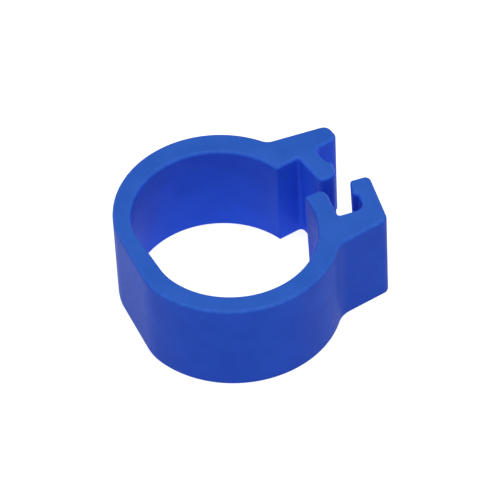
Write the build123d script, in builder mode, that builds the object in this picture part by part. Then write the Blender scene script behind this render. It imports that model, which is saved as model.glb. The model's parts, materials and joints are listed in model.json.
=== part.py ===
from build123d import *
from math import cos, radians, sin, sqrt, tan
import os

os.makedirs("parts", exist_ok=True)

# A clip-on poultry leg band: one moulded C-shaped ring with a snap clasp, drawn as it leaves the
# mould, slightly open. Millimetres. The origin is the axis of the leg hole at the bottom edge,
# +Z is the ring's axis and +X points from the ring to the clasp. The hook half is drawn as it
# lies when the band is shut, on a plane that is then swung open about the flexing web.

# Ring
HOLE_RADIUS = 8.0
WALL = 2.15
BAND_HEIGHT = 10.0
EDGE_ROUND = 0.4
OUTER_RADIUS = HOLE_RADIUS + WALL

# Flexing web, opposite the clasp
HINGE_X = -8.9
REST_OPENING = 13.5
SOCKET_WEB_ANGLE = 197.5
HOOK_WEB_ANGLE = 158.5
RIM_WEB_ANGLE = 162.3
HOOK_HOLE_CENTRE = (-0.2, 0.75)
HOOK_RIM_CENTRE = (0.2, 1.3)
HOOK_RIM_RADIUS = 9.8
WEB_BLEND = 6.0

# Arms that carry the clasp
ARM_SLOPE = 14.0
ARM_END = 14.15
LATCH_END = 14.45
SOCKET_ARMPIT_ROUND = 2.2
HOOK_ARMPIT_ROUND = 1.2
ARM_CORNER_ROUND = 0.95

# Socket: a slot with an undercut, between the guide prong and the latch prong
SOCKET_ARM_ANGLE = -30.0
SLOT_INNER = 9.97
SLOT_FLOOR = -1.5
SLOT_CORNER_ROUND = 0.25
RECESS_DEPTH = 12.6
RECESS_TOP = 0.25
RECESS_ROUND = 0.9
NOSE_X = 12.13
NOSE_Y = 0.62
LATCH_TOP = 2.3
LATCH_MOUTH = 12.5
LATCH_TIP_ROUND = 0.6
GUIDE_TOP = 2.3
GUIDE_SHOULDER = 1.9
GUIDE_TIP_ROUND = 0.75
PRONG_ROOT_ANGLE = -20.0

# Hook: an arm with a lip and a leg that ends in a snap bead
HOOK_ARM_ANGLE = 28.0
ARM_INNER = 2.42
LIP_END = 14.7
LIP_CORNER_ROUND = 0.9
LIP_TIP_ROUND = 0.8
LIP_UNDERSIDE = 2.45
LEG_INNER = 10.09
NOTCH_DEPTH = 11.99
NOTCH_BOTTOM = 0.6
NOTCH_ROUND = 0.6
BEAD_SHOULDER = (12.46, 0.2)
BEAD_TOE = 11.85
BEAD_BOTTOM = -1.4
BEAD_ROUND = 0.75
LEG_CORNER_ROUND = 0.3
LEG_ROOT = 1.7

# Parting of the moulding into its working regions
ARM_PARTING = 10.0
PARTING_CLEARANCE = 0.6
MOUTH_X = (SLOT_INNER + NOSE_X) / 2
REACH = 30.0

opening = radians(REST_OPENING)
hook_plane = Plane(
    origin=(HINGE_X - HINGE_X * cos(opening), -HINGE_X * sin(opening), 0),
    x_dir=(cos(opening), sin(opening), 0),
    z_dir=(0, 0, 1),
)


def on_ring(centre, radius, angle):
    """A point of a ring about that centre."""
    return (centre[0] + radius * cos(radians(angle)), centre[1] + radius * sin(radians(angle)))


def arm_corner(armpit, slope, end):
    """Where an arm's outer face, leaving its armpit at that slope, meets its end face."""
    return (end, armpit[1] + (end - armpit[0]) * tan(radians(slope)))


# The socket half's outline, from the web round the front of the ring to the clasp and back
socket_centre = (0, 0)
socket_armpit = on_ring(socket_centre, OUTER_RADIUS, SOCKET_ARM_ANGLE)
guide_shoulder = (sqrt(HOLE_RADIUS**2 - GUIDE_SHOULDER**2), GUIDE_SHOULDER)
with BuildSketch(Plane.XY) as socket_outline:
    with BuildLine():
        socket_outside = ThreePointArc(
            on_ring(socket_centre, OUTER_RADIUS, SOCKET_WEB_ANGLE),
            on_ring(socket_centre, OUTER_RADIUS, -90),
            socket_armpit,
        )
        arm_and_latch = FilletPolyline(
            socket_armpit,
            arm_corner(socket_armpit, ARM_SLOPE, ARM_END),
            (LATCH_END, LATCH_TOP),
            (LATCH_MOUTH, LATCH_TOP),
            radius=[ARM_CORNER_ROUND, LATCH_TIP_ROUND],
        )
        lead_in = Line(arm_and_latch @ 1, (NOSE_X, NOSE_Y))
        slot_and_guide = FilletPolyline(
            lead_in @ 1,
            (RECESS_DEPTH, RECESS_TOP),
            (RECESS_DEPTH, SLOT_FLOOR),
            (SLOT_INNER, SLOT_FLOOR),
            (SLOT_INNER, GUIDE_TOP),
            guide_shoulder,
            radius=[SLOT_CORNER_ROUND, RECESS_ROUND, SLOT_CORNER_ROUND, GUIDE_TIP_ROUND],
        )
        socket_inside = ThreePointArc(
            guide_shoulder,
            on_ring(socket_centre, HOLE_RADIUS, -90),
            on_ring(socket_centre, HOLE_RADIUS, SOCKET_WEB_ANGLE),
        )
        Line(socket_inside @ 1, socket_outside @ 0)
    make_face()
    fillet(socket_outline.vertices().sort_by_distance(socket_armpit)[0], SOCKET_ARMPIT_ROUND)

# The hook half's outline, in its own plane
hook_armpit = on_ring(HOOK_RIM_CENTRE, HOOK_RIM_RADIUS, HOOK_ARM_ANGLE)
arm_inner_height = ARM_INNER - HOOK_HOLE_CENTRE[1]
arm_inner_end = (HOOK_HOLE_CENTRE[0] + sqrt(HOLE_RADIUS**2 - arm_inner_height**2), ARM_INNER)
with BuildSketch() as hook_outline:
    with BuildLine():
        hook_outside = ThreePointArc(
            on_ring(HOOK_RIM_CENTRE, HOOK_RIM_RADIUS, RIM_WEB_ANGLE),
            on_ring(HOOK_RIM_CENTRE, HOOK_RIM_RADIUS, 90),
            hook_armpit,
        )
        arm_and_notch = FilletPolyline(
            hook_armpit,
            arm_corner(hook_armpit, -ARM_SLOPE, LIP_END),
            (LIP_END, LIP_UNDERSIDE),
            (NOTCH_DEPTH, LIP_UNDERSIDE),
            (NOTCH_DEPTH, NOTCH_BOTTOM),
            BEAD_SHOULDER,
            radius=[LIP_CORNER_ROUND, LIP_TIP_ROUND, NOTCH_ROUND, NOTCH_ROUND],
        )
        bead_and_leg = FilletPolyline(
            BEAD_SHOULDER,
            (BEAD_TOE, BEAD_BOTTOM),
            (LEG_INNER, BEAD_BOTTOM),
            (LEG_INNER, ARM_INNER),
            arm_inner_end,
            radius=[BEAD_ROUND, BEAD_ROUND, LEG_CORNER_ROUND],
        )
        hook_inside = ThreePointArc(
            arm_inner_end,
            on_ring(HOOK_HOLE_CENTRE, HOLE_RADIUS, 90),
            on_ring(HOOK_HOLE_CENTRE, HOLE_RADIUS, HOOK_WEB_ANGLE),
        )
        Line(hook_inside @ 1, hook_outside @ 0)
    make_face()
    fillet(hook_outline.vertices().sort_by_distance(hook_armpit)[0], HOOK_ARMPIT_ROUND)

# The whole moulding in plan: the two halves and the straight web between their ends
web_corners = [
    Vector(on_ring(socket_centre, OUTER_RADIUS, SOCKET_WEB_ANGLE)),
    Vector(on_ring(socket_centre, HOLE_RADIUS, SOCKET_WEB_ANGLE)),
    hook_plane.from_local_coords(on_ring(HOOK_HOLE_CENTRE, HOLE_RADIUS, HOOK_WEB_ANGLE)),
    hook_plane.from_local_coords(on_ring(HOOK_RIM_CENTRE, HOOK_RIM_RADIUS, RIM_WEB_ANGLE)),
]
with BuildSketch() as moulding_outline:
    add(socket_outline.sketch)
    add(hook_plane * hook_outline.sketch)
    with BuildLine():
        Polyline(web_corners, close=True)
    make_face()
    web_kinks = [moulding_outline.vertices().sort_by_distance(corner)[0] for corner in web_corners]
    fillet(web_kinks, WEB_BLEND)

# The same solid, with its long edges rounded
with BuildPart() as moulding:
    extrude(moulding_outline.sketch, amount=BAND_HEIGHT)
    long_edges = moulding.edges().group_by(Axis.Z)
    fillet(long_edges[0] + long_edges[-1], radius=EDGE_ROUND)


# The moulding is parted, face to face, into the regions that do different work. Each region is
# a plan outline that runs well clear of the moulding except along its parting lines.
def across_wall(centre, angle):
    """A line across a ring's wall, from well inside the hole to well outside."""
    return [on_ring(centre, HOLE_RADIUS / 2, angle), on_ring(centre, REACH, angle)]


def sector(centre, start, end):
    """A wide sector about a ring's centre."""
    rim = [on_ring(centre, REACH, start + (end - start) * share) for share in (0, 1 / 3, 2 / 3, 1)]
    return [centre] + rim


def region(plane, corners):
    """The face of a region, from its corners in that plane."""
    with BuildSketch(plane) as outline:
        with BuildLine():
            Polyline(corners, close=True)
        make_face()
    return outline.sketch


# Parting lines: across the wall at each end of the web and beside each armpit, across the root
# of each prong, and across the neck of the leg
socket_arm_parting = across_wall(socket_centre, SOCKET_ARM_ANGLE - ARM_PARTING)
hook_arm_parting = across_wall(HOOK_HOLE_CENTRE, HOOK_ARM_ANGLE + ARM_PARTING)
socket_web_parting = across_wall(socket_centre, SOCKET_WEB_ANGLE)
hook_web_line = across_wall(HOOK_HOLE_CENTRE, HOOK_WEB_ANGLE)
hook_web_parting = [hook_plane.from_local_coords(end) for end in hook_web_line]
guide_root = (SLOT_INNER + SLOT_CORNER_ROUND, SLOT_FLOOR + SLOT_CORNER_ROUND)
guide_root_inside = on_ring(guide_root, HOLE_RADIUS / 2, 180 - PRONG_ROOT_ANGLE)
latch_root = (RECESS_DEPTH - RECESS_ROUND, SLOT_FLOOR + RECESS_ROUND)
latch_root_outside = on_ring(latch_root, HOLE_RADIUS, PRONG_ROOT_ANGLE)
neck_inside = (LEG_INNER - PARTING_CLEARANCE, LEG_ROOT)
above_prongs = GUIDE_TOP + PARTING_CLEARANCE / 2
below_bead = BEAD_BOTTOM - PARTING_CLEARANCE / 2

# The regions
socket_band_corners = sector(socket_centre, SOCKET_WEB_ANGLE, 360 + SOCKET_ARM_ANGLE - ARM_PARTING)
socket_arm_corners = [guide_root_inside] + socket_arm_parting + [latch_root_outside, latch_root, guide_root]
guide_corners = [guide_root_inside, guide_root, (MOUTH_X, above_prongs), (HOLE_RADIUS / 2, above_prongs)]
latch_corners = [latch_root, latch_root_outside, (REACH, above_prongs), (MOUTH_X, above_prongs)]
web_region_corners = socket_web_parting + hook_web_parting[::-1]
hook_band_corners = sector(HOOK_HOLE_CENTRE, HOOK_ARM_ANGLE + ARM_PARTING, HOOK_WEB_ANGLE)
hook_arm_corners = hook_arm_parting + [(REACH, LEG_ROOT), neck_inside]
leg_corners = [neck_inside, (ARM_END, LEG_ROOT), (ARM_END, below_bead), (neck_inside[0], below_bead)]

with BuildPart() as socket_band:
    add(moulding.part)
    extrude(region(Plane.XY, socket_band_corners), amount=BAND_HEIGHT, mode=Mode.INTERSECT)
socket_band.part.label = "socket_band"
export_step(socket_band.part, "parts/socket_band.step")

with BuildPart() as socket_arm:
    add(moulding.part)
    extrude(region(Plane.XY, socket_arm_corners), amount=BAND_HEIGHT, mode=Mode.INTERSECT)
socket_arm.part.label = "socket_arm"
export_step(socket_arm.part, "parts/socket_arm.step")

with BuildPart() as guide_prong:
    add(moulding.part)
    extrude(region(Plane.XY, guide_corners), amount=BAND_HEIGHT, mode=Mode.INTERSECT)
guide_prong.part.label = "guide_prong"
export_step(guide_prong.part, "parts/guide_prong.step")

with BuildPart() as latch_prong:
    add(moulding.part)
    extrude(region(Plane.XY, latch_corners), amount=BAND_HEIGHT, mode=Mode.INTERSECT)
latch_prong.part.label = "latch_prong"
export_step(latch_prong.part, "parts/latch_prong.step")

with BuildPart() as flex_web:
    add(moulding.part)
    extrude(region(Plane.XY, web_region_corners), amount=BAND_HEIGHT, mode=Mode.INTERSECT)
flex_web.part.label = "flex_web"
export_step(flex_web.part, "parts/flex_web.step")

with BuildPart() as hook_band:
    add(moulding.part)
    extrude(region(hook_plane, hook_band_corners), amount=BAND_HEIGHT, mode=Mode.INTERSECT)
hook_band.part.label = "hook_band"
export_step(hook_band.part, "parts/hook_band.step")

with BuildPart() as hook_arm:
    add(moulding.part)
    extrude(region(hook_plane, hook_arm_corners), amount=BAND_HEIGHT, mode=Mode.INTERSECT)
hook_arm.part.label = "hook_arm"
export_step(hook_arm.part, "parts/hook_arm.step")

with BuildPart() as snap_leg:
    add(moulding.part)
    extrude(region(hook_plane, leg_corners), amount=BAND_HEIGHT, mode=Mode.INTERSECT)
snap_leg.part.label = "snap_leg"
export_step(snap_leg.part, "parts/snap_leg.step")
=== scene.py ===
import json
from collections import namedtuple
from math import atan2, ceil, cos, degrees, radians, sin, sqrt, tan

import bpy
from mathutils import Matrix, Vector


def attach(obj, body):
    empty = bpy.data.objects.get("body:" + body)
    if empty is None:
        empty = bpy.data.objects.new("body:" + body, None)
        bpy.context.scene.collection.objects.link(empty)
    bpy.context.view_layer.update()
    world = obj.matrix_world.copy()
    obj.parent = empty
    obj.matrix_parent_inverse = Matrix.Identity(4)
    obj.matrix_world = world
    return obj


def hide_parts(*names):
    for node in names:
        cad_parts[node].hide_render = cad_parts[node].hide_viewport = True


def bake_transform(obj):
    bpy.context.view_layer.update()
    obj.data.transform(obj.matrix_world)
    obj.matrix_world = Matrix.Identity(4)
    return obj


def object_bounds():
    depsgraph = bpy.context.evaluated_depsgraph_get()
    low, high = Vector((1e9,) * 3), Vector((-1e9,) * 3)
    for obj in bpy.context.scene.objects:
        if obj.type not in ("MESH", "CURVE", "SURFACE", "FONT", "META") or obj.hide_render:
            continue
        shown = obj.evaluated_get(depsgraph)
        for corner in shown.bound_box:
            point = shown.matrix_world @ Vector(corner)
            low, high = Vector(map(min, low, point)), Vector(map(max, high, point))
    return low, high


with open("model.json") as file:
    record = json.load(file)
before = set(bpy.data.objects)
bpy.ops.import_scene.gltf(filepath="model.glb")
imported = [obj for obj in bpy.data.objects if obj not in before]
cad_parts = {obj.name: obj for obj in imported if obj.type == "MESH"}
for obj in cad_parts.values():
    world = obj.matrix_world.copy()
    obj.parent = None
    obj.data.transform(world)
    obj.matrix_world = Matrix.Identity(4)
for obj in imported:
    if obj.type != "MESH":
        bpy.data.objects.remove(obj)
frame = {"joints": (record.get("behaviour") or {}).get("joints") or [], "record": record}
cad_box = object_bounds()

# A blue clip-on poultry leg band, moulded in one shot. Plan sizes are in millimetres, and the
# script draws the whole moulding's outline at each level, and parts it into one closed piece for
# each CAD node. The hook half is given as it lies when the band is shut, and swung open about the
# web. The origin is the ring's axis.
MM = 0.001
joints = {joint["name"]: joint for joint in frame["joints"]}
bore = next(mount for mount in frame["record"]["mounts"] if mount["name"] == "leg_bore")

# Ring
AXIS = Vector((0, 0))
HOLE_RADIUS = bore["dims"]["r_mm"]
WALL = 2.15
OUTER_RADIUS = HOLE_RADIUS + WALL
BAND_HEIGHT = (cad_box[1].z - cad_box[0].z) / MM
FLOOR_HEIGHT = cad_box[0].z

# Flexing web, opposite the clasp
HINGE = Vector(joints["band_flex"]["pos_m"][:2]) / MM
REST_OPENING = -joints["band_flex"]["range_deg"][0]
SOCKET_WEB_ANGLE = 197.5
HOOK_WEB_ANGLE = 158.5
RIM_WEB_ANGLE = 162.3
HOOK_HOLE_CENTRE = Vector((-0.2, 0.75))
HOOK_RIM_CENTRE = Vector((0.2, 1.3))
HOOK_RIM_RADIUS = 9.8
WEB_BLEND = 6.0

# Arms that carry the clasp
ARM_SLOPE = 14.0
ARM_END = 14.15
LATCH_END = 14.45
SOCKET_ARMPIT_ROUND = 2.2
HOOK_ARMPIT_ROUND = 1.2
ARM_CORNER_ROUND = 0.95

# Socket: a slot with an undercut, between the guide prong and the latch prong
SOCKET_ARM_ANGLE = -30.0
SLOT_INNER = 9.97
SLOT_FLOOR = -1.5
SLOT_CORNER_ROUND = 0.25
RECESS_DEPTH = 12.6
RECESS_TOP = 0.25
RECESS_ROUND = 0.9
NOSE = (12.13, 0.62)
LATCH_TOP = 2.3
LATCH_MOUTH = 12.5
LATCH_TIP_ROUND = 0.6
GUIDE_TOP = 2.3
GUIDE_SHOULDER = 1.9
GUIDE_TIP_ROUND = 0.75
PRONG_ROOT_ANGLE = -20.0

# Hook: an arm with a lip and a leg that ends in a snap bead
HOOK_ARM_ANGLE = 28.0
ARM_INNER = 2.42
LIP_END = 14.7
LIP_CORNER_ROUND = 0.9
LIP_TIP_ROUND = 0.8
LIP_UNDERSIDE = 2.45
LEG_INNER = 10.09
NOTCH_DEPTH = 11.99
NOTCH_BOTTOM = 0.6
NOTCH_ROUND = 0.6
BEAD_SHOULDER = (12.46, 0.2)
BEAD_TOE = 11.85
BEAD_BOTTOM = -1.4
BEAD_ROUND = 0.75
LEG_CORNER_ROUND = 0.3
LEG_ROOT = 1.7

# How the moulding is finished: its walls draw in by the draft from the top edge to the bottom one,
# its long edges are rounded, and its crispest corners have a small round too. A round that is drawn
# in never gets smaller than the tightest one.
DRAFT = 0.15
TOP_ROUND = 0.4
BOTTOM_ROUND = 0.1
CRISP_ROUND = 0.27
TIGHTEST_ROUND = 0.02

# Parting of the moulding into pieces: how far round the ring from an arm's root it is parted, how
# far a parting line reaches to each side of its middle, and the nodes in the order that the outline
# meets them, from the web's socket end round the outside
ARM_PARTING = 10.0
PARTING_REACH = 1.7
OUTLINE_ORDER = [
    "socket_band", "socket_arm", "latch_prong", "socket_arm", "guide_prong", "socket_arm",
    "socket_band", "flex_web", "hook_band", "hook_arm", "snap_leg", "hook_arm", "hook_band",
    "flex_web",
]

# The pieces that flex on the real band: the web and both prongs, which this script leaves on no
# body and does not bend. The prongs' roots set where they are parted.
BENDING_NODES = ("flex_web", "guide_prong", "latch_prong")
GUIDE_ROOT = Vector((SLOT_INNER + SLOT_CORNER_ROUND, SLOT_FLOOR + SLOT_CORNER_ROUND))
LATCH_ROOT = Vector((RECESS_DEPTH - RECESS_ROUND, SLOT_FLOOR + RECESS_ROUND))

# Fineness of the meshes and of the geometry
POINT_SPACING = 0.3
ARC_STEP = 9.0
EDGE_STEPS = 6
NEARLY_PARALLEL = 1e-9

# The plastic, in linear light: its blues on flat faces, painted paler as lit faces, on outer walls,
# painted deeper as shaded ones, and on walls round the hole and in the clasp, painted brighter with
# a glow of light that bounces in and soaks through; the paler blue of rounded edges, partly wear and
# partly a painted highlight along the rims, and how strongly it shows; its shine; the strength and
# depth of its moulded texture; and the range of each noise that is used
LIT_FACE_BLUES = ((0.0182, 0.083, 0.400, 1), (0.0228, 0.0945, 0.437, 1))
SHADED_WALL_BLUES = ((0.0112, 0.0560, 0.425, 1), (0.0132, 0.0640, 0.465, 1))
BOUNCE_GLOW_BLUES = ((0.0160, 0.084, 0.66, 1), (0.0180, 0.094, 0.72, 1))
WORN_AND_HIGHLIT_BLUE = (0.040, 0.14, 0.55, 1)
EDGE_WEAR_AND_HIGHLIGHT = (0.25, 0.7)
ROUGHNESS = (0.4, 0.55)
PLASTIC_IOR = 1.49
SPECULAR_LEVEL = 0.05
RIPPLE_STRENGTH = 0.35
RIPPLE_DEPTH = 0.05
GRAIN_STRENGTH = 0.3
GRAIN_DEPTH = 0.01
CLOUD_RANGE = (0.35, 0.65)
SCUFF_RANGE = (0.3, 0.7)
WEAR_AND_HIGHLIGHT_RANGE = (0.45, 0.65)

# Floor and light, in metres and watts
FLOOR_SIZE = 4.0
FLOOR_GREY = 0.5
FLOOR_GLOW = 0.7
FLOOR_ROUGHNESS = 0.9
ROOM_LIGHT = 0.34
SOFTBOX_SIZE = 0.4
OVERHEAD_PLACE = (0.0, -0.05, 0.6)
OVERHEAD_POWER = 3.4
LEFT_PLACE = (-0.5, -0.25, 0.3)
LEFT_POWER = 0.16

# Camera. Its bearing is clockwise from +Y, and its distance, the width of its view and the point
# that it looks at are in millimetres.
CAMERA_BEARING = 17.6
CAMERA_ELEVATION = 47.0
CAMERA_ROLL = 3.09
CAMERA_DISTANCE = 1110.0
VIEW_WIDTH = 46.7
VIEW_CENTRE = (1.09, -1.65, 8.81)
VIEW_LIMIT_M = 10.0

# Outline geometry. An edge is a line or a ring, and the moulding lies on its left. A ring's turn is
# 1 where the outline runs round it anticlockwise and -1 where it runs clockwise. A corner's ring is
# the edge that leaves it, or None for a straight edge, and its shelter says where that edge's wall
# is: outside, round the leg hole, or in the clasp, and so how much of the painted glow of bounced and
# soaked-through light its wall gets. A span is the stretch of an edge between two points, a spot is a
# point of the surface, and a level is a height with the depth and the tilt of the wall there.
# How much painted glow of bounced light each place's walls get.
OUTSIDE, HOLE, CLASP = 0, 0.6, 1
Line = namedtuple("Line", "point direction")
Ring = namedtuple("Ring", "centre radius turn")
Corner = namedtuple("Corner", "point radius ring shelter")
Span = namedtuple("Span", "edge start end shelter_start shelter_end")
Spot = namedtuple("Spot", "place normal shelter")
Level = namedtuple("Level", "depth height tilt")


def polar(centre, radius, angle):
    """A point on a ring about that centre."""
    return centre + radius * Vector((cos(radians(angle)), sin(radians(angle))))


def heading(angle):
    """The direction at that angle from +X."""
    return polar(AXIS, 1, angle)


def left(direction):
    """The direction a quarter turn to the left."""
    return Vector((-direction.y, direction.x))


def swung(point):
    """A point of the shut hook half, swung open about the hinge."""
    return HINGE + Matrix.Rotation(radians(REST_OPENING), 2) @ (Vector(point) - HINGE)


def drawn_in(edge, depth):
    """The edge moved into the moulding by that depth."""
    if isinstance(edge, Line):
        return Line(edge.point + depth * left(edge.direction), edge.direction)
    return edge._replace(radius=edge.radius - edge.turn * depth)


def touch(edge, point):
    """The nearest point of an edge."""
    if isinstance(edge, Line):
        return edge.point + edge.direction * (point - edge.point).dot(edge.direction)
    return edge.centre + edge.radius * (point - edge.centre).normalized()


def outward(edge, point):
    """The direction out of the moulding at a point of an edge."""
    if isinstance(edge, Line):
        return -left(edge.direction)
    return edge.turn * (point - edge.centre).normalized()


def crossing(line, edge, near):
    """Where a line meets an edge, nearest to a known point, or None."""
    if isinstance(edge, Line):
        slant = line.direction.cross(edge.direction)
        if abs(slant) < NEARLY_PARALLEL:
            return None
        return line.point + line.direction * ((edge.point - line.point).cross(edge.direction) / slant)
    foot = touch(line, edge.centre)
    half_squared = edge.radius**2 - (edge.centre - foot).length_squared
    if half_squared < 0:
        return None
    ends = [foot + side * sqrt(half_squared) * line.direction for side in (-1, 1)]
    return min(ends, key=lambda end: (end - near).length)


def rounding(before, after, corner, depth):
    """The ring that rounds a corner between two edges, once both are drawn in."""
    turned = outward(before, corner.point).cross(outward(after, corner.point))
    turn = 1 if turned > 0 else -1
    radius = max(corner.radius - turn * depth, TIGHTEST_ROUND)
    paths = [drawn_in(edge, depth + turn * radius) for edge in (before, after)]
    paths.sort(key=lambda path: isinstance(path, Ring))
    return Ring(crossing(*paths, corner.point), radius, turn)


def outline_spans(corners, depth):
    """The closed outline at that depth: the rounding of each corner, then the edge that leaves it."""
    edges = []
    for corner, following in zip(corners, corners[1:] + corners[:1]):
        edges.append(corner.ring or Line(corner.point, (following.point - corner.point).normalized()))
    rounds = [rounding(edges[i - 1], edges[i], corner, depth) for i, corner in enumerate(corners)]
    edges = [drawn_in(edge, depth) for edge in edges]
    spans = []
    for i, edge in enumerate(edges):
        shelters = corners[i - 1].shelter, corners[i].shelter
        start, middle = (touch(side, rounds[i].centre) for side in (edges[i - 1], edge))
        end = touch(edge, rounds[(i + 1) % len(rounds)].centre)
        spans.append(Span(rounds[i], start, middle, *shelters))
        spans.append(Span(edge, middle, end, shelters[1], shelters[1]))
    return spans


def sweep(span, point):
    """How far round its ring a span has turned at a point, in degrees, from 0 at its start."""
    arms = [place - span.edge.centre for place in (span.start, point)]
    angles = [degrees(atan2(arm.y, arm.x)) for arm in arms]
    return (span.edge.turn * (angles[1] - angles[0])) % 360


def contains(span, point):
    """Whether a point of the span's edge lies between its ends."""
    if isinstance(span.edge, Ring):
        return 0 < sweep(span, point) < sweep(span, span.end)
    return (point - span.start).dot(span.end - point) > 0


def steps_along(span):
    """How many steps draw a span finely enough."""
    if isinstance(span.edge, Line):
        return max(1, ceil((span.end - span.start).length / POINT_SPACING))
    turned = sweep(span, span.end)
    return max(2, ceil(turned / ARC_STEP), ceil(radians(turned) * span.edge.radius / POINT_SPACING))


def points_along(span, steps):
    """The span's spots in plan, from its start up to but not at its end."""
    spots = []
    for step in range(steps):
        share = step / steps
        if isinstance(span.edge, Line):
            point = span.start.lerp(span.end, share)
        else:
            turned = radians(span.edge.turn * sweep(span, span.end) * share)
            point = span.edge.centre + Matrix.Rotation(turned, 2) @ (span.start - span.edge.centre)
        shelter = span.shelter_start + share * (span.shelter_end - span.shelter_start)
        spots.append(Spot(point, outward(span.edge, point), shelter))
    return spots


def arm_corner(armpit, slope, end):
    """Where an arm's outer face, leaving its armpit at that slope, meets its end face."""
    return Vector((end, armpit.y + (end - armpit.x) * tan(radians(slope))))


def on_hole(centre, height):
    """Where the hole's wall on the clasp's side stands that high above the ring's axis."""
    return Vector((centre.x + sqrt(HOLE_RADIUS**2 - (height - centre.y) ** 2), height))


def socket_corners():
    """The socket half's outline, from the web round the front of the ring to the clasp and back."""
    armpit = polar(AXIS, OUTER_RADIUS, SOCKET_ARM_ANGLE)
    outside = Ring(AXIS, OUTER_RADIUS, 1)
    inside = Ring(AXIS, HOLE_RADIUS, -1)
    return [
        Corner(polar(AXIS, OUTER_RADIUS, SOCKET_WEB_ANGLE), WEB_BLEND, outside, OUTSIDE),
        Corner(armpit, SOCKET_ARMPIT_ROUND, None, OUTSIDE),
        Corner(arm_corner(armpit, ARM_SLOPE, ARM_END), ARM_CORNER_ROUND, None, OUTSIDE),
        Corner(Vector((LATCH_END, LATCH_TOP)), LATCH_TIP_ROUND, None, OUTSIDE),
        Corner(Vector((LATCH_MOUTH, LATCH_TOP)), CRISP_ROUND, None, CLASP),
        Corner(Vector(NOSE), CRISP_ROUND, None, CLASP),
        Corner(Vector((RECESS_DEPTH, RECESS_TOP)), SLOT_CORNER_ROUND, None, CLASP),
        Corner(Vector((RECESS_DEPTH, SLOT_FLOOR)), RECESS_ROUND, None, CLASP),
        Corner(Vector((SLOT_INNER, SLOT_FLOOR)), SLOT_CORNER_ROUND, None, CLASP),
        Corner(Vector((SLOT_INNER, GUIDE_TOP)), GUIDE_TIP_ROUND, None, OUTSIDE),
        Corner(on_hole(AXIS, GUIDE_SHOULDER), CRISP_ROUND, inside, HOLE),
        Corner(polar(AXIS, HOLE_RADIUS, SOCKET_WEB_ANGLE), WEB_BLEND, None, HOLE),
    ]


def hook_corners():
    """The hook half's outline, from the web along the hole to the clasp and back outside."""
    armpit = polar(HOOK_RIM_CENTRE, HOOK_RIM_RADIUS, HOOK_ARM_ANGLE)
    outside = Ring(swung(HOOK_RIM_CENTRE), HOOK_RIM_RADIUS, 1)
    inside = Ring(swung(HOOK_HOLE_CENTRE), HOLE_RADIUS, -1)
    shut = [
        (polar(HOOK_HOLE_CENTRE, HOLE_RADIUS, HOOK_WEB_ANGLE), WEB_BLEND, inside, HOLE),
        (on_hole(HOOK_HOLE_CENTRE, ARM_INNER), CRISP_ROUND, None, CLASP),
        ((LEG_INNER, ARM_INNER), LEG_CORNER_ROUND, None, CLASP),
        ((LEG_INNER, BEAD_BOTTOM), BEAD_ROUND, None, CLASP),
        ((BEAD_TOE, BEAD_BOTTOM), BEAD_ROUND, None, CLASP),
        (BEAD_SHOULDER, CRISP_ROUND, None, CLASP),
        ((NOTCH_DEPTH, NOTCH_BOTTOM), NOTCH_ROUND, None, CLASP),
        ((NOTCH_DEPTH, LIP_UNDERSIDE), NOTCH_ROUND, None, CLASP),
        ((LIP_END, LIP_UNDERSIDE), LIP_TIP_ROUND, None, OUTSIDE),
        (arm_corner(armpit, -ARM_SLOPE, LIP_END), LIP_CORNER_ROUND, None, OUTSIDE),
        (armpit, HOOK_ARMPIT_ROUND, outside, OUTSIDE),
        (polar(HOOK_RIM_CENTRE, HOOK_RIM_RADIUS, RIM_WEB_ANGLE), WEB_BLEND, None, OUTSIDE),
    ]
    return [Corner(swung(point), *finish) for point, *finish in shut]


def parting_lines():
    """The lines along which the moulding is parted: across the wall at each end of the web and
    beside each armpit, across the root of each prong, and across the neck of the leg."""
    hook_centre = swung(HOOK_HOLE_CENTRE)
    middle = (HOLE_RADIUS + OUTER_RADIUS) / 2
    across_wall = [
        (AXIS, SOCKET_WEB_ANGLE),
        (AXIS, SOCKET_ARM_ANGLE - ARM_PARTING),
        (hook_centre, REST_OPENING + HOOK_ARM_ANGLE + ARM_PARTING),
        (hook_centre, REST_OPENING + HOOK_WEB_ANGLE),
    ]
    guide_way, latch_way = heading(180 - PRONG_ROOT_ANGLE), heading(PRONG_ROOT_ANGLE)
    neck = swung(((LEG_INNER + NOTCH_DEPTH) / 2, LEG_ROOT))
    return [Line(polar(centre, middle, angle), heading(angle)) for centre, angle in across_wall] + [
        Line(GUIDE_ROOT + PARTING_REACH * guide_way, guide_way),
        Line(LATCH_ROOT + 2 * RECESS_ROUND * latch_way, latch_way),
        Line(neck, heading(REST_OPENING)),
    ]


def find_cuts(spans, partings):
    """Where the parting lines cross the outline: (span number, parting line, crossing), in order."""
    cuts = []
    for number, span in enumerate(spans):
        found = []
        for line in partings:
            point = crossing(line, span.edge, line.point)
            if point and contains(span, point) and (point - line.point).length < PARTING_REACH:
                found.append((number, line, point))
        found.sort(key=lambda cut: (cut[2] - span.start).length)
        cuts += found
    return cuts


def split_spans(spans, cuts):
    """The outline's spans, with each one ended and started again where a parting line crosses it,
    and the places in that list where the cuts are."""
    split, places = [], []
    for number, span in enumerate(spans):
        start = span.start
        for _, line, near in [cut for cut in cuts if cut[0] == number]:
            point = crossing(line, span.edge, near)
            split.append(span._replace(start=start, end=point))
            places.append(len(split))
            start = point
        split.append(span._replace(start=start))
    return split, places


def wall_levels():
    """The levels of the wall, from the inner rim of the bottom edge to that of the top edge."""
    levels = []
    bottom_edge = (BOTTOM_ROUND, BOTTOM_ROUND, -90)
    top_edge = (TOP_ROUND, BAND_HEIGHT - TOP_ROUND, 0)
    for radius, middle, first_tilt in (bottom_edge, top_edge):
        for step in range(EDGE_STEPS + 1):
            tilt = radians(first_tilt + 90 * step / EDGE_STEPS)
            height = middle + radius * sin(tilt)
            depth = radius * (1 - cos(tilt)) + DRAFT * (1 - height / BAND_HEIGHT)
            levels.append(Level(depth, height, tilt))
    return levels


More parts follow.
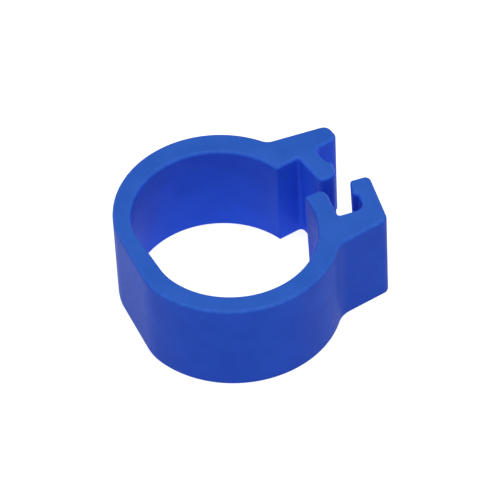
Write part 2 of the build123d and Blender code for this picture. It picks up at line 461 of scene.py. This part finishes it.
def moulding_rings():
    """The outline at each level, as runs of spots, one for each stretch of a node. Every level has
    the same number of spots in each run, and a run ends where the next one starts."""
    corners = socket_corners() + hook_corners()
    nominal = outline_spans(corners, 0)
    cuts = find_cuts(nominal, parting_lines())
    steps = [steps_along(span) for span in split_spans(nominal, cuts)[0]]
    rings = []
    for level in wall_levels():
        spans, places = split_spans(outline_spans(corners, level.depth), cuts)
        runs = []
        for start, end in zip(places, places[1:] + places[:1]):
            numbers = range(start, end) if start < end else [*range(start, len(spans)), *range(end)]
            plan = [spot for number in numbers for spot in points_along(spans[number], steps[number])]
            plan.append(points_along(spans[end], 1)[0])
            runs.append([lift(spot, level) for spot in plan])
        rings.append(runs)
    return rings


def lift(spot, level):
    """A plan spot taken to its level, in metres."""
    place = Vector((spot.place.x, spot.place.y, level.height)) * MM + Vector((0, 0, FLOOR_HEIGHT))
    normal = (cos(level.tilt) * spot.normal).to_3d() + Vector((0, 0, sin(level.tilt)))
    return Spot(place, normal, spot.shelter)


def wall_faces(columns, spots):
    """The faces of one stretch of wall, each with the directions at its corners."""
    faces = []
    for here, there in zip(columns, columns[1:]):
        for low in range(len(here) - 1):
            face = [here[low], there[low], there[low + 1], here[low + 1]]
            faces.append((face, [spots[vert].normal for vert in face]))
    return faces


def flat_faces(stretches):
    """A piece's top and bottom faces, each with the directions at its corners."""
    outline = [column for columns in stretches for column in columns]
    top = [column[-1] for column in outline]
    bottom = [column[0] for column in reversed(outline)]
    return [(top, [Vector((0, 0, 1))] * len(top)), (bottom, [Vector((0, 0, -1))] * len(bottom))]


def parting_faces(stretches, spots):
    """The faces where a piece meets its neighbours, each with the directions at its corners."""
    faces = []
    for columns, following in zip(stretches, stretches[1:] + stretches[:1]):
        face = following[0] + columns[-1][::-1]
        across = spots[face[0]].place - spots[face[-1]].place
        faces.append((face, [Vector((across.y, -across.x, 0)).normalized()] * len(face)))
    return faces


def record_values(mesh, name, values):
    """Gives each vertex a value that the material can read."""
    mesh.attributes.new(name, "FLOAT", "POINT").data.foreach_set("value", values)


def build_piece(node, rings):
    """One closed piece: its stretches of wall, its top and bottom, and its parting faces."""
    spots, stretches = [], []
    for number in [number for number, name in enumerate(OUTLINE_ORDER) if name == node]:
        columns = []
        for column in zip(*(ring[number] for ring in rings)):
            columns.append(list(range(len(spots), len(spots) + len(column))))
            spots += column
        stretches.append(columns)
    faces = [face for columns in stretches for face in wall_faces(columns, spots)]
    faces += flat_faces(stretches) + parting_faces(stretches, spots)
    mesh = bpy.data.meshes.new("moulded_" + node)
    mesh.from_pydata([spot.place for spot in spots], [], [face for face, _ in faces])
    mesh.polygons.foreach_set("use_smooth", [True] * len(faces))
    # Masks for the painted light: edge peaks on the rounded rims, where a highlight is painted along
    # with wear; side is high on walls, painted as shaded against the lit flat faces; shelter sets the
    # painted glow on walls in the hole and clasp.
    record_values(mesh, "edge", [1 - (1 - 2 * spot.normal.z**2) ** 2 for spot in spots])
    record_values(mesh, "side", [1 - spot.normal.z**2 for spot in spots])
    record_values(mesh, "shelter", [spot.shelter for spot in spots])
    mesh.normals_split_custom_set([normal for _, normals in faces for normal in normals])
    piece = bpy.data.objects.new(mesh.name, mesh)
    bpy.context.scene.collection.objects.link(piece)
    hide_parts(node)
    return piece


def bend(piece):
    """Bakes a piece's placement into its mesh; it is not bent and rides on no body."""
    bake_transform(piece)


def attach_pieces(pieces):
    """Stiff pieces ride on their bodies. The web and the two prongs stay fixed, with their placement
    baked in.
    """
    for body, nodes in frame["record"]["behaviour"]["bodies"].items():
        for node in nodes:
            if node not in BENDING_NODES:
                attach(pieces[node], body)
    bend(pieces["flex_web"])
    bend(pieces["guide_prong"])
    bend(pieces["latch_prong"])


def add_node(tree, kind, inputs=None, **settings):
    """A shader node with its settings, and its inputs set to values or linked to other sockets."""
    made = tree.nodes.new("ShaderNode" + kind)
    for name, value in settings.items():
        setattr(made, name, value)
    for name, value in (inputs or {}).items():
        if isinstance(value, bpy.types.NodeSocket):
            tree.links.new(value, made.inputs[name])
        else:
            made.inputs[name].default_value = value
    return made


def recorded(tree, name):
    """A value that was recorded on the mesh."""
    return add_node(tree, "Attribute", attribute_name=name).outputs["Fac"]


def noise(tree, place, per_mm, detail, roughness=0.5):
    """Noise with about that many blotches to the millimetre."""
    inputs = {"Vector": place, "Scale": per_mm / MM, "Detail": detail, "Roughness": roughness}
    return add_node(tree, "TexNoise", inputs).outputs["Fac"]


def spread(tree, value, used, wanted):
    """A value's used range stretched to the wanted one."""
    inputs = {"Value": value, "From Min": used[0], "From Max": used[1]}
    inputs.update({"To Min": wanted[0], "To Max": wanted[1]})
    return add_node(tree, "MapRange", inputs).outputs["Result"]


def mixed(tree, share, first, second):
    """Two colours mixed by a share."""
    return add_node(tree, "Mix", {0: share, 6: first, 7: second}, data_type="RGBA").outputs[2]


def blue_plastic():
    """Satin blue plastic: faint flow mottling, a fine moulded grain and scuffs; painted light too:
    paler lit faces, deeper shaded walls, a painted glow in the hole and clasp, and rounded edges
    paler from wear and a painted highlight.
    """
    material = bpy.data.materials.new("blue_plastic_moulded")
    material.use_nodes = True
    tree = material.node_tree
    shader = tree.nodes["Principled BSDF"]
    place = add_node(tree, "TexCoord").outputs["Object"]
    edge, side, shelter = (recorded(tree, name) for name in ("edge", "side", "shelter"))
    clouds = spread(tree, noise(tree, place, per_mm=0.35, detail=3), CLOUD_RANGE, (0, 1))
    scuffs = noise(tree, place, per_mm=2.2, detail=5, roughness=0.7)
    ripples = noise(tree, place, per_mm=0.8, detail=2)
    grain = noise(tree, place, per_mm=7.0, detail=4, roughness=0.6)
    # Painted light: flat faces take the paler lit blue, outer walls the deeper shaded blue, and walls
    # in the hole and clasp a painted glow of bounced light, by the shelter share.
    blues = [mixed(tree, clouds, *pair) for pair in (LIT_FACE_BLUES, SHADED_WALL_BLUES, BOUNCE_GLOW_BLUES)]
    body = mixed(tree, side, blues[0], mixed(tree, shelter, blues[1], blues[2]))
    # Rounded edges go paler where the scuff noise is high: partly wear, partly a painted highlight
    # along the rims.
    wear_and_highlight_strength = spread(tree, scuffs, WEAR_AND_HIGHLIGHT_RANGE, EDGE_WEAR_AND_HIGHLIGHT)
    wear_and_highlight_share = add_node(tree, "Math", {0: edge, 1: wear_and_highlight_strength}, operation="MULTIPLY").outputs[0]
    waves = {"Height": ripples, "Strength": RIPPLE_STRENGTH, "Distance": RIPPLE_DEPTH * MM}
    bumps = {"Height": grain, "Strength": GRAIN_STRENGTH, "Distance": GRAIN_DEPTH * MM}
    bumps["Normal"] = add_node(tree, "Bump", waves).outputs[0]
    tree.links.new(mixed(tree, wear_and_highlight_share, body, WORN_AND_HIGHLIT_BLUE), shader.inputs["Base Color"])
    tree.links.new(spread(tree, scuffs, SCUFF_RANGE, ROUGHNESS), shader.inputs["Roughness"])
    tree.links.new(add_node(tree, "Bump", bumps).outputs[0], shader.inputs["Normal"])
    shader.inputs["IOR"].default_value = PLASTIC_IOR
    shader.inputs["Specular IOR Level"].default_value = SPECULAR_LEVEL
    return material


def make_floor():
    """A plain pale floor, well beyond any view."""
    mesh = bpy.data.meshes.new("floor")
    corners = [(-1, -1), (1, -1), (1, 1), (-1, 1)]
    verts = [(x * FLOOR_SIZE / 2, y * FLOOR_SIZE / 2, FLOOR_HEIGHT) for x, y in corners]
    mesh.from_pydata(verts, [], [range(4)])
    floor = bpy.data.objects.new("floor", mesh)
    material = bpy.data.materials.new("pale_floor")
    material.use_nodes = True
    shader = material.node_tree.nodes["Principled BSDF"]
    shader.inputs["Base Color"].default_value = (FLOOR_GREY, FLOOR_GREY, FLOOR_GREY, 1)
    shader.inputs["Roughness"].default_value = FLOOR_ROUGHNESS
    shader.inputs["Emission Color"].default_value = (1, 1, 1, 1)
    shader.inputs["Emission Strength"].default_value = FLOOR_GLOW
    mesh.materials.append(material)
    bpy.context.scene.collection.objects.link(floor)


def aim(thing, place, target):
    """Puts a lamp or a camera somewhere and points it at a target."""
    thing.location = place
    thing.rotation_euler = (Vector(target) - Vector(place)).to_track_quat("-Z", "Y").to_euler()


def softbox(name, place, power):
    """A square soft lamp, pointed at the band."""
    lamp = bpy.data.lights.new(name, "AREA")
    lamp.size = SOFTBOX_SIZE
    lamp.energy = power
    made = bpy.data.objects.new(name, lamp)
    bpy.context.scene.collection.objects.link(made)
    aim(made, place, (0, 0, FLOOR_HEIGHT))


def light_studio():
    """An even white room, with a large soft lamp overhead and one at the left."""
    scene = bpy.context.scene
    world = bpy.data.worlds.new("white_room")
    world.use_nodes = True
    world.node_tree.nodes["Background"].inputs["Color"].default_value = (1, 1, 1, 1)
    world.node_tree.nodes["Background"].inputs["Strength"].default_value = ROOM_LIGHT
    scene.world = world
    scene.view_settings.view_transform = "Standard"
    softbox("overhead_softbox", OVERHEAD_PLACE, OVERHEAD_POWER)
    softbox("left_softbox", LEFT_PLACE, LEFT_POWER)


def make_camera():
    """A long lens, looking down at the band's front and clasp."""
    camera = bpy.data.cameras.new("camera")
    camera.lens = camera.sensor_width * CAMERA_DISTANCE / VIEW_WIDTH
    camera.clip_end = VIEW_LIMIT_M
    made = bpy.data.objects.new("camera", camera)
    bpy.context.scene.collection.objects.link(made)
    bearing, elevation = radians(CAMERA_BEARING), radians(CAMERA_ELEVATION)
    towards = Vector((sin(bearing) * cos(elevation), cos(bearing) * cos(elevation), -sin(elevation)))
    target = MM * Vector(VIEW_CENTRE)
    made.location = target - MM * CAMERA_DISTANCE * towards
    level = towards.to_track_quat("-Z", "Y").to_matrix()
    made.rotation_euler = (level @ Matrix.Rotation(radians(-CAMERA_ROLL), 3, "Z")).to_euler()
    bpy.context.scene.camera = made


rings = moulding_rings()
pieces = {node: build_piece(node, rings) for node in dict.fromkeys(OUTLINE_ORDER)}
plastic = blue_plastic()
for piece in pieces.values():
    piece.data.materials.append(plastic)
attach_pieces(pieces)
make_floor()
light_studio()
make_camera()
